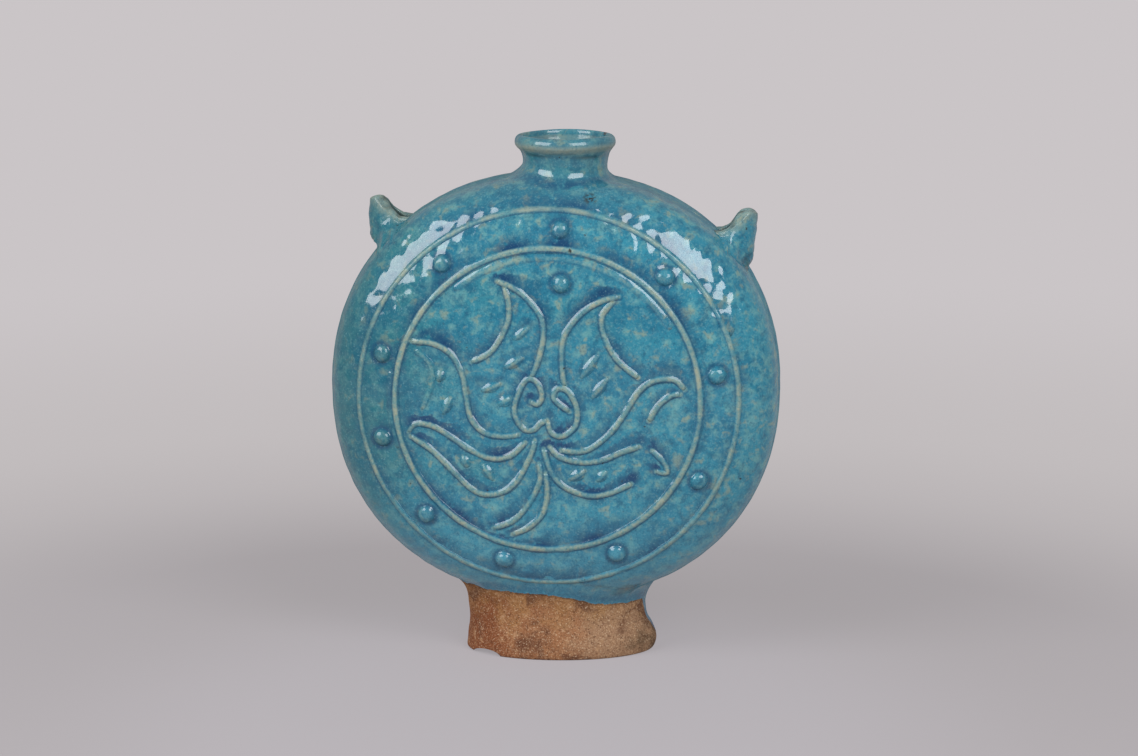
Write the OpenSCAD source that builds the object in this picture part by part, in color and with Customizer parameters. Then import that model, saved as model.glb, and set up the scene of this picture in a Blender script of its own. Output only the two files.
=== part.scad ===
// Pilgrim flask: two pressed shells luted at the rim, with a thrown neck, a hollow oval foot,
// two cord lugs and trailed slip ornament on both faces.
// Origin: middle of the foot on the table. +Z up, the face that is seen looks towards -Y.

/* [Body] */
// Width of the body over the rim
body_width = 213; // [190:0.5:240]
// Height of the body over the rim
body_height = 203.6; // [185:0.5:225]
// Thickness of the body from face to face
body_depth = 80; // [66:0.5:96]
// How blunt the rim is: 2 is an ellipse, more is flatter faces and a blunter rim
rim_bluntness = 3.6; // [2.6:0.1:4.4]
// Thickness of the pressed wall
wall = 6; // [4.5:0.1:7.5]
// Thickness of the slip between the two shells
seam_thickness = 1.6; // [1:0.1:3]
// Height of the underside of the body above the table
body_lift = 27.3; // [22:0.1:34]

/* [Neck] */
// How far the neck stands right of the middle of the body
neck_offset = 4.2; // [-6:0.1:6]
// Height of the lip above the top of the body
neck_rise = 19.1; // [15:0.1:26]
// Radius of the throat, the straight bore of the neck
throat_r = 15.5; // [12:0.1:17]
// Thickness of the neck at its waist
neck_wall = 4.3; // [3.5:0.1:6]
// How far the rolled lip stands out from the waist
lip_overhang = 4; // [3:0.1:6]
// How much the mouth opens out from the throat, all round
mouth_flare = 3.5; // [2.5:0.1:4]
// How far the base of the neck flares out from the waist
base_flare = 4.7; // [3.5:0.1:8]

/* [Foot] */
// Length of the foot ring on the table
foot_length = 91; // [80:0.5:104]
// Width of the foot ring on the table
foot_width = 53; // [46:0.5:58]
// Thickness of the foot ring
foot_wall = 7.5; // [6:0.1:9]
// How far the waist of the foot is drawn in
foot_waist = 3.2; // [1:0.1:5]
// Turn of the foot against the body
foot_turn = 4.5; // [0:0.5:8]
// How far the foot stands right of the middle of the body
foot_offset = 1.2; // [-4:0.1:4]
// Height of the chip in the rim of the foot
chip_height = 2.6; // [1:0.1:4]

/* [Lugs] */
// Outer face of the left lug, in from the left edge of the body
left_lug_inset = 17.3; // [12:0.1:22]
// Outer face of the right lug, in from the right edge of the body
right_lug_inset = 12.3; // [10:0.1:22]
// Tip of the left lug above the shoulder under its middle
left_lug_rise = 18.9; // [16:0.1:22]
// Tip of the right lug above the shoulder under its middle
right_lug_rise = 19.5; // [16:0.1:22]
// Outer radius of the strap, seen from above
lug_r = 13; // [12:0.1:15]
// Thickness of the strap
lug_wall = 3; // [2.2:0.1:4]
// Radius of the small cord hole under the strap
cord_hole_r = 2.3; // [1.8:0.1:3]

/* [Ornament] */
// Outer ring in from the edge of the body
rim_margin = 12.8; // [9:0.1:16]
// Band between the outer and the inner ring, where the beads lie
bead_band = 17.7; // [15:0.1:22]
// Faint thread in from the inner ring
faint_inset = 4.3; // [3.5:0.1:6]
// Width of a bead
bead_width = 7.6; // [5:0.1:9]
// Height of a bead
bead_height = 2.6; // [1.5:0.1:3.5]
// Width of the leaf threads
thread_width = 3; // [2:0.1:4]
// Height of the leaf threads
thread_height = 1.2; // [0.8:0.1:1.8]

/* [Hidden] */

half_w = body_width / 2;
half_h = body_height / 2;
half_seam = seam_thickness / 2;
dome = body_depth / 2 - half_seam;
centre_z = body_lift + half_h;
body_top = body_lift + body_height;
lip_top = body_top + neck_rise;
// Long enough for any cut to go right through
big = 400;

glaze = "#3f8ba6";
thread_glaze = "#8fb3ac";
clay = "#a5795a";

// Point on a cubic curve with four control points, and the whole curve in n steps
function bow(p, t) = p[0] * pow(1 - t, 3) + 3 * p[1] * t * pow(1 - t, 2) + 3 * p[2] * t * t * (1 - t)
    + p[3] * pow(t, 3);
function arc(p, n) = [for (i = [1:n]) bow(p, i / n)];

// Half profile of a shell: r is its radius at the rim and d its depth
function shell_profile(r, d, n) = [for (i = [0:n]) let (t = 90 * i / n)
    [r * pow(sin(t), 2 / rim_bluntness), d * pow(cos(t), 2 / rim_bluntness)]];

// A solid dome whose flat side lies on the plane of the rim, bulging towards -Y, turned in one or two parts
module dome_solid(half_width, half_height, d, parts = 1) {
    for (k = [0:parts - 1])
        translate([0, -half_seam, centre_z]) scale([half_width / half_height, 1, 1]) rotate([90, 0, 0])
            rotate([0, 0, 180 * k]) rotate_extrude(angle = 360 / parts, $fn = 180)
                polygon(concat([[0, 0]], shell_profile(half_height, d, 16)));
}

// The oval disc of the seam, also used to cut what sits on the body
module rim_disc(half_width, half_height, thickness) {
    translate([0, 0, centre_z]) scale([half_width / half_height, 1, 1]) rotate([90, 0, 0])
        cylinder(r = half_height, h = thickness, center = true, $fn = 180);
}

// The outside of the whole body as one set of solids, for cutting what is luted onto it
module body_solids() {
    dome_solid(half_w, half_h, dome);
    rotate([0, 0, 180]) dome_solid(half_w, half_h, dome);
    rim_disc(half_w, half_h, seam_thickness);
}

module throat_hole() {
    translate([neck_offset, 0, centre_z]) cylinder(r = throat_r, h = big, $fn = 96);
}

// One pressed shell, turned about the upright axis to be the front or the back
module shell(turn) {
    color(glaze) difference() {
        rotate([0, 0, turn]) dome_solid(half_w, half_h, dome, 2);
        rotate([0, 0, turn]) dome_solid(half_w - wall, half_h - wall, dome - wall, 2);
        throat_hole();
    }
}

module front_shell() {
    shell(0);
}

module back_shell() {
    shell(180);
}

module seam_slip() {
    color(clay) difference() {
        rim_disc(half_w, half_h, seam_thickness);
        rim_disc(half_w - wall, half_h - wall, big);
        throat_hole();
    }
}

// Neck: waist, rolled lip and flared base, thrown round
waist_r = throat_r + neck_wall;
lip_r = waist_r + lip_overhang;
mouth_r = throat_r + mouth_flare;
neck_base_r = waist_r + base_flare;
lip_wall = lip_r - mouth_r;
root_z = body_top - 14;
base_z = body_top - 5.2;
waist_z = body_top + neck_rise * 0.29;
roll_z = lip_top - 3.8;
throat_top = lip_top - 9.5;
neck_outline = concat(
    [[throat_r, root_z], [neck_base_r + 2, root_z], [neck_base_r, base_z]],
    arc([[neck_base_r, base_z], [neck_base_r - 1.6, base_z + 3], [waist_r + 0.2, base_z + 4.2],
        [waist_r, waist_z]], 7),
    arc([[waist_r, waist_z], [waist_r - 0.1, waist_z + 3.5], [waist_r + 1.2, roll_z - 4.6],
        [lip_r - 0.8, roll_z - 2.4]], 5),
    arc([[lip_r - 0.8, roll_z - 2.4], [lip_r, roll_z - 1.2], [lip_r + 0.2, roll_z + 1],
        [lip_r - lip_wall * 0.2, roll_z + 2.4]], 4),
    arc([[lip_r - lip_wall * 0.2, roll_z + 2.4], [lip_r - lip_wall * 0.38, lip_top - 0.5],
        [mouth_r + lip_wall * 0.54, lip_top], [mouth_r + lip_wall * 0.35, lip_top]], 4),
    arc([[mouth_r + lip_wall * 0.35, lip_top], [mouth_r + lip_wall * 0.17, lip_top],
        [mouth_r + 0.2, lip_top - 0.6], [mouth_r - 0.2, lip_top - 1.4]], 3),
    arc([[mouth_r - 0.2, lip_top - 1.4], [mouth_r - 1.2, lip_top - 3.6], [throat_r, lip_top - 6],
        [throat_r, throat_top]], 6));

module neck() {
    color(glaze) difference() {
        translate([neck_offset, 0, 0]) rotate_extrude($fn = 128) polygon(neck_outline);
        body_solids();
    }
}

// Foot: an oval ring with a rolled edge and a drawn-in waist, flaring up against the body to just below
// the outer ring
foot_r = foot_length / 2;
foot_inner_r = foot_r - foot_wall;
foot_roll = 0.6;
roll_top = 7;
waist_bottom = body_lift - 7.3;
flare = 3.6;
ring_clearance = 3;
flare_top = body_lift + rim_margin - ring_clearance;
sole_r = foot_r - 1.6;
sole_trim = 2;
foot_outline = concat(
    [[foot_inner_r, -sole_trim], [sole_r, -sole_trim], [sole_r, 0]],
    arc([[sole_r, 0], [foot_r, 0.4], [foot_r + foot_roll, 4], [foot_r + foot_roll, roll_top]], 4),
    arc([[foot_r + foot_roll, roll_top], [foot_r + foot_roll, roll_top + 5],
        [foot_r - foot_waist, waist_bottom - 6], [foot_r - foot_waist, waist_bottom]], 5),
    arc([[foot_r - foot_waist, waist_bottom], [foot_r - foot_waist, body_lift], [foot_r, body_lift + 5],
        [foot_r + flare, flare_top]], 5),
    [[foot_inner_r, flare_top + 20]]);

// Chip in the rim: a shallow arch, its middle this share of the length from the middle of the foot
chip_r = 9;
chip_place = 0.35;
chip_turn = 12;

module foot() {
    color(clay) difference() {
        translate([foot_offset, 0, 0]) rotate([0, 0, foot_turn]) scale([1, foot_width / foot_length, 1])
            rotate_extrude($fn = 160) polygon(foot_outline);
        // the sole, rubbed flat
        translate([0, 0, -big / 2]) cube(big, center = true);
        body_solids();
        translate([foot_offset - foot_length * chip_place, 0, chip_height - chip_r])
            rotate([90, 0, chip_turn]) cylinder(r = chip_r, h = foot_width, $fn = 64);
    }
}

// Lug: a strap bent round into a loop, its top scooped down to the shoulder. Drawn for the right side,
// with u out from the strap's axis and v up from its tip.
lug_height = 27;
lug_scoop = 9.4;
cord_hole_drop = 28;
cord_hole_tilt = 130;
cord_hole_length = 16;
lug_side = concat(
    [[-lug_r - 4, -lug_height - 11], [lug_r - 5, -lug_height - 11], [lug_r - 1, -lug_height],
        [lug_r, -lug_height + 4]],
    arc([[lug_r, -3.6], [lug_r, -1], [lug_r - 2, 0], [lug_r - 4.4, 0]], 5),
    arc([[lug_r - 4.4, 0], [lug_r - 8.5, -1.4], [lug_r - 11.5, -lug_scoop], [lug_r - 18.5, -lug_scoop]], 8),
    [[-lug_r - 4, -lug_scoop + 0.8]]);

function shoulder_z(x) = centre_z + half_h * sqrt(1 - pow(x / half_w, 2));

module lug(inset, rise) {
    axis_x = half_w - inset - lug_r;
    translate([axis_x, 0, shoulder_z(axis_x) + rise]) difference() {
        intersection() {
            rotate([90, 0, 0]) linear_extrude(lug_r * 3, center = true) polygon(lug_side);
            cylinder(r = lug_r, h = big, center = true, $fn = 96);
        }
        cylinder(r = lug_r - lug_wall, h = big, center = true, $fn = 96);
        translate([lug_r - 1, 0, -cord_hole_drop]) rotate([0, cord_hole_tilt, 0])
            cylinder(r = cord_hole_r, h = cord_hole_length, center = true, $fn = 48);
        translate([-axis_x, 0, -shoulder_z(axis_x) - rise]) body_solids();
    }
}

module left_lug() {
    color(glaze) mirror([1, 0, 0]) lug(left_lug_inset, left_lug_rise);
}

module right_lug() {
    color(glaze) lug(right_lug_inset, right_lug_rise);
}

// Surface of the front dome: its depth at x, z measured from the middle of the body, and its normal
function rho(x, z) = max(0.001, norm([x / half_w, z / half_h]));
function skin(x, z) =
    [x, -half_seam - dome * pow(max(0, 1 - pow(rho(x, z), rim_bluntness)), 1 / rim_bluntness), centre_z + z];
function unit(v) = v / norm(v);
function skin_normal(x, z) = let (k = pow(rho(x, z), rim_bluntness - 2),
    d = max(0.02, pow(max(0, 1 - pow(rho(x, z), rim_bluntness)), 1 / rim_bluntness)))
    unit([k * x / pow(half_w, 2), -pow(d, rim_bluntness - 1) / dome, k * z / pow(half_h, 2)]);

// Smooth line through hand-set points, in n steps between neighbours
function through(p, i, t) = let (a = p[max(0, i - 1)], b = p[i], c = p[i + 1], d = p[min(len(p) - 1, i + 2)])
    0.5 * (2 * b + (c - a) * t + (2 * a - 5 * b + 4 * c - d) * t * t + (3 * b - a - 3 * c + d) * t * t * t);
function smooth(p, n) = concat([for (i = [0:len(p) - 2]) for (s = [0:n - 1]) through(p, i, s / n)],
    [p[len(p) - 1]]);

// One cross-section of a slip thread lying on the dome: a low round ridge with its base on the skin
function ridge(p, dir, w, h) = let (n = skin_normal(p[0], p[1]), s = skin(p[0], p[1]),
    b = unit(cross(n, [dir[0], 0, dir[1]])))
    [skin(p[0] - b[0] * w / 2, p[1] - b[2] * w / 2), s - b * w * 0.34 + n * h * 0.72, s + n * h,
     s + b * w * 0.34 + n * h * 0.72, skin(p[0] + b[0] * w / 2, p[1] + b[2] * w / 2)];

// Faces that join rings of k points, open with two ends or closed into a loop
function band_faces(rings, k, closed) = concat(
    [for (i = [0:rings - (closed ? 1 : 2)]) for (j = [0:k - 1])
        let (a = i * k + j, b = i * k + (j + 1) % k, c = ((i + 1) % rings) * k + (j + 1) % k,
             d = ((i + 1) % rings) * k + j) each [[a, b, c], [a, c, d]]],
    closed ? [] : [[for (j = [k - 1:-1:0]) j], [for (j = [0:k - 1]) (rings - 1) * k + j]]);

// An open thread, its two ends drawn out thinner
module thread(pts, w, h) {
    n = len(pts);
    end_share = 0.45;
    rings = [for (i = [0:n - 1]) let (k = min(1, end_share + 0.3 * min(i, n - 1 - i)))
        ridge(pts[i], pts[min(n - 1, i + 1)] - pts[max(0, i - 1)], w * k, h * k)];
    polyhedron([for (r = rings) each r], band_faces(n, 5, false), convexity = 6);
}

module thread_ring(r, w, h, n) {
    rings = [for (i = [0:n - 1]) let (a = 360 * i / n)
        ridge(ring_middle + r * [cos(a), sin(a)], [-sin(a), cos(a)], w, h)];
    polyhedron([for (q = rings) each q], band_faces(n, 5, true), convexity = 6);
}

// One bead: a low dome of clay pressed onto the skin
module bead(p, w, h) {
    k = 14;
    levels = [[1, 0], [0.93, 0.42], [0.72, 0.76], [0.4, 0.95]];
    n = skin_normal(p[0], p[1]);
    pts = [for (l = levels) for (j = [0:k - 1])
        let (a = -360 * j / k, q = p + w / 2 * l[0] * [cos(a), sin(a)]) skin(q[0], q[1]) + n * h * l[1]];
    polyhedron(pts, band_faces(len(levels), k, false), convexity = 2);
}

module beads(places, w) {
    for (p = places) bead(p, w, bead_height);
}

// Ornament, set out from the middle of the body and turned round for the back
ring_middle = [-1.1, -0.6];
outer_ring_r = min(half_w, half_h) - rim_margin;
inner_ring_r = outer_ring_r - bead_band;
faint_ring_r = inner_ring_r - faint_inset;
bead_circle_r = outer_ring_r - bead_band / 2;
flower_drawn_r = 71.3;
fit = inner_ring_r / flower_drawn_r;
function line(p, n = 2) = [for (q = smooth(p, n)) ring_middle + fit * (q - ring_middle)];
outer_ring_width = 2.4;
inner_ring_width = 3.3;
faint_width = 2.4;
faint_from = 33;
faint_to = 129;
bead_angles = [9.4, 47, 85.7, 127.6, 165, 194, 224.3, 255.1, 294, 332.3];

leaves = [
    // upper left leaf, outer and inner edge
    [[-24, 55.5], [-15.5, 52], [-9, 46.5], [-3.5, 39], [-2.5, 30], [-4.5, 20], [-8, 11]],
    [[-20.5, 52.5], [-18.5, 44.5], [-19.5, 35], [-26.5, 23], [-36, 17.5]],
    // upper right leaf
    [[32.5, 49], [24.5, 47], [15, 41], [7.5, 31], [6, 21.5], [6.5, 13], [7.5, 7]],
    [[29.5, 46.5], [24.5, 39.5], [26, 30], [32, 19.5], [41.5, 11.5]],
    // middle left leaf, upper edge and faint lower edge
    [[-64.5, 26.5], [-55, 26], [-46, 21.5], [-40.5, 12], [-38.5, 1.5], [-36.5, -8.5], [-30.5, -15.5],
        [-21, -17.3], [-14, -16.5]],
    [[-62.5, 22.5], [-55.5, 16], [-55, 6.5], [-59.5, -5.5]],
    // lower left leaf
    [[-66, -16.5], [-62.5, -12.5], [-55, -13], [-46, -18], [-37, -24], [-27, -28], [-18, -26.5], [-11, -20]],
    [[-65, -18.5], [-56, -24], [-48.5, -31], [-37, -42.5], [-29.5, -45.5], [-20.5, -43.5], [-14, -37],
        [-8, -25], [-6.5, -19]],
    // lower right leaf
    [[0.5, -22], [5, -26.5], [15, -29], [24.5, -28], [34, -24], [42, -21]],
    [[-2.5, -23], [1.5, -34.5], [8, -41.5], [19, -45], [29, -43.5], [38.5, -39]],
    // middle right leaf
    [[6, -23.5], [17, -23.5], [26.5, -17], [33.5, -8.5], [41.5, 4.5], [49, 10], [58, 10.5], [63, 6]],
    [[61, 3.8], [56.5, 3], [51, -1.5], [46.5, -9]]];

scroll = [
    // left and right halves of the heart, each with its curl
    [[-8.5, -0.5], [-5, -1.7], [-3, 3], [-6, 9], [-10.5, 9.5], [-14.5, 2], [-16, -6], [-12, -13.5],
        [-7, -14], [-4, -11]],
    [[-0.5, -10], [1.5, -15.5], [7, -16.5], [12.5, -11.5], [13, -3], [9, 4.5], [4, 5.7], [2.5, 1], [9.5, -5]],
    // vine under the heart
    [[-4.5, -30], [-4.2, -38], [-9.5, -49.5], [-17, -58], [-26.5, -62]],
    [[-1.5, -34.5], [-0.8, -44], [-3, -54], [-9.5, -61], [-17.5, -65]],
    // hook at the tip of the right leaf
    [[48, -23], [53.5, -28.5], [55, -33.5], [50, -33]]];

seeds = [
    [[-16.5, 28.5], [-9.5, 34]], [[-20.5, 15], [-12, 20]], [[-31.5, 4], [-22.5, 7.5]],
    [[-23.5, -2.5], [-17.8, 1]], [[15, 11], [23, 22]], [[20, 1.5], [27.5, 11]],
    [[-50, 13.5], [-51.5, 8]], [[-46, 0.5], [-49.5, -7.5]], [[-31, -31], [-26, -38.5]],
    [[-40.5, -27], [-38, -32.5]], [[9.5, -37.5], [17, -33]], [[22.5, -38], [27, -33]]];
seed_width = 2.8;
seed_height = 0.9;

module outer_ring() {
    color(thread_glaze) thread_ring(outer_ring_r, outer_ring_width, thread_height, 72);
}

module inner_ring() {
    color(thread_glaze) {
        thread_ring(inner_ring_r, inner_ring_width, thread_height, 64);
        thread([for (a = [faint_from:6:faint_to]) ring_middle + faint_ring_r * [cos(a), sin(a)]], faint_width,
            thread_height / 2);
    }
}

module bosses() {
    color(thread_glaze) {
        beads([for (a = bead_angles) ring_middle + bead_circle_r * [cos(a), sin(a)]], bead_width);
        beads([ring_middle + fit * [5.6, 54.7]], bead_width);
    }
}

module leaf_threads() {
    color(thread_glaze) for (p = leaves) thread(line(p), thread_width, thread_height);
}

module scroll_threads() {
    color(thread_glaze) for (p = scroll) thread(line(p), thread_width, thread_height);
}

module seed_dashes() {
    color(thread_glaze) for (p = seeds) thread(line(p, 5), seed_width, seed_height);
}

module turned() {
    rotate([0, 0, 180]) children();
}

front_shell();
back_shell();
seam_slip();
neck();
foot();
left_lug();
right_lug();
outer_ring();  // front_outer_ring
inner_ring();  // front_inner_ring
bosses();  // front_bosses
leaf_threads();  // front_leaves
scroll_threads();  // front_scroll
seed_dashes();  // front_seeds
turned() outer_ring();  // back_outer_ring
turned() inner_ring();  // back_inner_ring
turned() bosses();  // back_bosses
turned() leaf_threads();  // back_leaves
turned() scroll_threads();  // back_scroll
turned() seed_dashes();  // back_seeds
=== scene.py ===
import bpy
import numpy as np
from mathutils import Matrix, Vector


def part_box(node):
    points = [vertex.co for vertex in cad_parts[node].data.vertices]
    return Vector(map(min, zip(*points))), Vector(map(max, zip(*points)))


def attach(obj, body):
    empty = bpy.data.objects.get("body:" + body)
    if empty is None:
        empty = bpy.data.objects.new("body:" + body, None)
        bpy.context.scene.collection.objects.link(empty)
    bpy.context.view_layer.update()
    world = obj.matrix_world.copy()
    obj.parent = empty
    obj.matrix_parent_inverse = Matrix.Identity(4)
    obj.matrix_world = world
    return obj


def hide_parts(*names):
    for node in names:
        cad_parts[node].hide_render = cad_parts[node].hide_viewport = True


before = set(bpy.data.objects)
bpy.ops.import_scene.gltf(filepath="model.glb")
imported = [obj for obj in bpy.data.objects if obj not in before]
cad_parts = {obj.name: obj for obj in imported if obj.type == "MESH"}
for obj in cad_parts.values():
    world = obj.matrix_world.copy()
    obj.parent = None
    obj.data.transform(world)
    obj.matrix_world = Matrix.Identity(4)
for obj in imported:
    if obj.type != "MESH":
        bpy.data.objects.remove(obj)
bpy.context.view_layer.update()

# The two pressed halves
# Each half was pressed into a shallow round mould and came out as a flattened dome about 6 mm thick.
# The two were luted rim to rim, and the hole for the neck was cut through both while the clay was soft.
mm = 0.001
half_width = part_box("seam_slip")[1].x
half_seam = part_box("seam_slip")[1].y
half_height = 101.8 * mm
middle_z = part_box("seam_slip")[0].z + half_height
bulge = -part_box("front_shell")[0].y - half_seam
bluntness = 3.6
squareness = 2.15
wall = 6 * mm
neck_x = (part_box("neck")[0].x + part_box("neck")[1].x) / 2
throat_radius = 15.5 * mm
slow_dents = 0.1 * mm
quick_dents = 0.14 * mm
hammered = 0.24 * mm
MARKS = ("thin", "pooled", "bare", "iron")


def unevenness(points, wavelength, seed):
    """Smooth unevenness between about -1 and 1: twice the mean of 12 plane waves in random directions."""
    draw = np.random.default_rng(seed)
    ways = draw.normal(size=(3, 12))
    ways *= 2 * np.pi / wavelength * draw.uniform(0.7, 1.4, 12) / np.linalg.norm(ways, axis=0)
    waves = np.sin(points @ ways + draw.uniform(0, 2 * np.pi, 12))
    return np.clip(2 * waves.mean(-1), -1, 1)


def share_out(x, z):
    """The share rho of the way out to the rim: rho^n = |x / half_width|^n + |z / half_height|^n."""
    return (np.abs(x / half_width) ** squareness + np.abs(z / half_height) ** squareness) ** (1 / squareness)


def dents(points):
    """How far the hand and the mould left the skin below its true form: slow hollows, dimples and ripples.

    The quick ones are weak inside the medallion, which was pressed hardest, and on the flank.
    """
    rho = share_out(points[..., 0], points[..., 2] - middle_z)
    outside = (0.25 + 0.75 * np.clip((rho - 0.62) / 0.16, 0, 1)) * np.clip(1.3 - (rho - 0.9) / 0.1, 0.3, 1)
    slow = slow_dents * (1 + unevenness(points, 34 * mm, 3))
    quick = quick_dents * (1 + unevenness(points, 13 * mm, 4)) + hammered * (1 + unevenness(points, 6.5 * mm, 5))
    return slow + quick * outside


def skin(x, z, rise, back=False, lift=0.0):
    """A point on the outer skin of a half, and the direction square to it.

    The dome is rho^p + rise^p = 1 with the depth bulge times rise, and the normal is its gradient. x and z
    are measured from the middle of the face. The dents sink the point along the normal and lift raises
    it. The back is turned half round.
    """
    rho = np.maximum(share_out(x, z), 1e-6)
    steep = rho ** (bluntness - squareness)
    slope_x = np.sign(x) * np.abs(x / half_width) ** (squareness - 1) / half_width
    slope_z = np.sign(z) * np.abs(z / half_height) ** (squareness - 1) / half_height
    normal = np.stack([steep * slope_x, -rise ** (bluntness - 1) / bulge, steep * slope_z], -1)
    normal /= np.linalg.norm(normal, axis=-1, keepdims=True)
    point = np.stack([x, -half_seam - bulge * rise, middle_z + z], -1)
    if back:
        point, normal = point * [-1, -1, 1], normal * [-1, -1, 1]
    return point + normal * (lift - dents(point))[..., None], normal


def on_face(x, z, back=False, lift=0.0):
    """The same for a place on the face given by x and z alone."""
    return skin(x, z, np.maximum(0, 1 - share_out(x, z) ** bluntness) ** (1 / bluntness), back, lift)


def closed_skin(rings, joined=False):
    """Points and faces of a closed surface from rings (rows, points round a ring, place and marks).

    Each ring is joined to the next by quads. Where the last ring isn't joined to the first, a fan of
    triangles round the ring's mean point closes each end. The sign of the volume turns the faces outwards.
    """
    rows, count, channels = rings.shape
    points = rings.reshape(-1, channels)
    row = np.arange(rows if joined else rows - 1)[:, None]
    column = np.arange(count)[None, :]
    next_row, next_column = (row + 1) % rows, (column + 1) % count
    quads = np.stack([row * count + column, row * count + next_column,
                      next_row * count + next_column, next_row * count + column], -1).reshape(-1, 4)
    fans = np.zeros((0, 3), int)
    if not joined:
        start, turn = len(points), column[0]
        points = np.concatenate([points, rings[:1].mean(1), rings[-1:].mean(1)])
        first = np.stack([turn, np.full(count, start), (turn + 1) % count], -1)
        last = np.stack([turn, (turn + 1) % count, np.full(count, start + 1)], -1)
        last[:, :2] += (rows - 1) * count
        fans = np.concatenate([first, last])
    corners = [points[quads[:, :3], :3], points[quads[:, [0, 2, 3]], :3], points[fans, :3]]
    volume = sum(np.einsum("ij,ij->", c[:, 0], np.cross(c[:, 1], c[:, 2])) for c in corners)
    if volume < 0:
        quads, fans = quads[:, ::-1], fans[:, ::-1]
    return points, quads, fans


def marked(points, thin=0.0, pooled=0.0, bare=0.0, iron=0.0):
    """Points with the four marks of the glaze on them: thin, pooled, bare clay and iron."""
    marks = [np.broadcast_to(m, points.shape[:-1]) for m in (thin, pooled, bare, iron)]
    return np.concatenate([points, np.stack(marks, -1)], -1)


def set_marks(piece, values):
    """Writes each mark to the piece as a point attribute that the glaze reads."""
    for name, value in zip(MARKS, values.T):
        layer = piece.data.attributes.get(name) or piece.data.attributes.new(name, "FLOAT", "POINT")
        layer.data.foreach_set("value", np.ascontiguousarray(value, np.float32))


def fired_piece(name, skins, slot, *nodes):
    """One object from closed skins, smooth shaded, with its marks, standing for the CAD nodes."""
    mesh = bpy.data.meshes.new(name)
    points, corners, starts, first = [], [], [], 0
    reached = 0
    for place, quads, fans in skins:
        points.append(place)
        corners += [(quads + first).ravel(), (fans + first).ravel()]
        starts.append(reached + 4 * np.arange(len(quads)))
        starts.append(reached + 4 * len(quads) + 3 * np.arange(len(fans)))
        reached += 4 * len(quads) + 3 * len(fans)
        first += len(place)
    points, corners, starts = (np.concatenate(a) for a in (points, corners, starts))
    mesh.vertices.add(len(points))
    mesh.vertices.foreach_set("co", points[:, :3].astype(np.float32).ravel())
    mesh.loops.add(len(corners))
    mesh.loops.foreach_set("vertex_index", corners.astype(np.int32))
    mesh.polygons.add(len(starts))
    mesh.polygons.foreach_set("loop_start", starts.astype(np.int32))
    mesh.polygons.foreach_set("use_smooth", np.ones(len(starts), bool))
    mesh.update(calc_edges=True)
    mesh.validate()
    piece = bpy.data.objects.new(name, mesh)
    bpy.context.scene.collection.objects.link(piece)
    set_marks(piece, points[:, 3:])
    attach(piece, "root")
    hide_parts(*nodes)
    return piece


def places(piece):
    """The points of a piece as an array."""
    flat = np.empty(len(piece.data.vertices) * 3, np.float32)
    piece.data.vertices.foreach_get("co", flat)
    return flat.reshape(-1, 3).astype(float)


def drilled(piece, start, end, radius):
    """Cuts a round hole through a piece from start to end."""
    turn = np.linspace(0, 2 * np.pi, 96, endpoint=False)
    start, end = np.array(start, float), np.array(end, float)
    way = (end - start) / np.linalg.norm(end - start)
    across = np.cross(way, [0.0, 1.0, 0.0])
    across /= np.linalg.norm(across)
    circle = radius * (np.cos(turn)[:, None] * across + np.sin(turn)[:, None] * np.cross(way, across))
    drill = fired_piece("drill", [closed_skin(marked(np.stack([start + circle, end + circle])))], "")
    cut = piece.modifiers.new("hole", "BOOLEAN")
    cut.operation, cut.solver, cut.object = "DIFFERENCE", "EXACT", drill
    made = bpy.data.meshes.new_from_object(piece.evaluated_get(bpy.context.evaluated_depsgraph_get()))
    piece.modifiers.clear()
    piece.data = made
    bpy.data.objects.remove(drill)


def round_rim(count):
    """Unit outline of the face: cos a and sin a, each to the power 2/n with its sign kept."""
    turn = np.linspace(0, 2 * np.pi, count, endpoint=False)
    return [np.sign(wave) * np.abs(wave) ** (2 / squareness) for wave in (np.cos(turn), np.sin(turn))]


def pressed_half(back):
    """The skin of one half: out over the face to the rim, in across the luted edge, and back inside.

    Each ring is the outline of the face times rho, with rho = sin(t)^(2/p) and rise = cos(t)^(2/p), so
    that t runs from the middle of the face to the rim.
    """
    east, north = round_rim(640)
    t = np.linspace(0, np.pi / 2, 900)
    profile = np.stack([half_width * np.sin(t) ** (2 / bluntness), bulge * np.cos(t) ** (2 / bluntness)], -1)
    length = np.concatenate([[0], np.cumsum(np.linalg.norm(np.diff(profile, axis=0), axis=1))])
    t_out = np.interp(np.linspace(0, length[-1], 132), length, t)[1:]
    t_out = np.append(t_out[:-1], [np.pi / 2 - 6e-6, np.pi / 2])[:, None]
    rho, rise = np.sin(t_out) ** (2 / bluntness), np.maximum(0, np.cos(t_out)) ** (2 / bluntness)
    x, z = rho * half_width * east, rho * half_height * north
    outer = skin(x, z, rise + 0 * x, back)[0]
    t_in = np.linspace(np.pi / 2, 0.06, 10)[:, None]
    rho, rise = np.sin(t_in) ** (2 / bluntness), np.maximum(0, np.cos(t_in)) ** (2 / bluntness)
    inner = np.stack([rho * (half_width - wall) * east, -half_seam - (bulge - wall) * rise + 0 * x[:10],
                      middle_z + rho * (half_height - wall) * north], -1)
    if back:
        inner = inner * [-1, -1, 1]
    step = 0.01
    edge = outer[-1:] * (1 - step) + inner[:1] * step
    return closed_skin(marked(np.concatenate([outer, edge, inner])))


body_glaze = "turquoise_glaze"
throat_from = (neck_x, 0, middle_z)
throat_to = (neck_x, 0, middle_z + half_height + 20 * mm)
front_half = fired_piece("front_half", [pressed_half(False)], body_glaze, "front_shell")
back_half = fired_piece("back_half", [pressed_half(True)], body_glaze, "back_shell")

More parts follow.
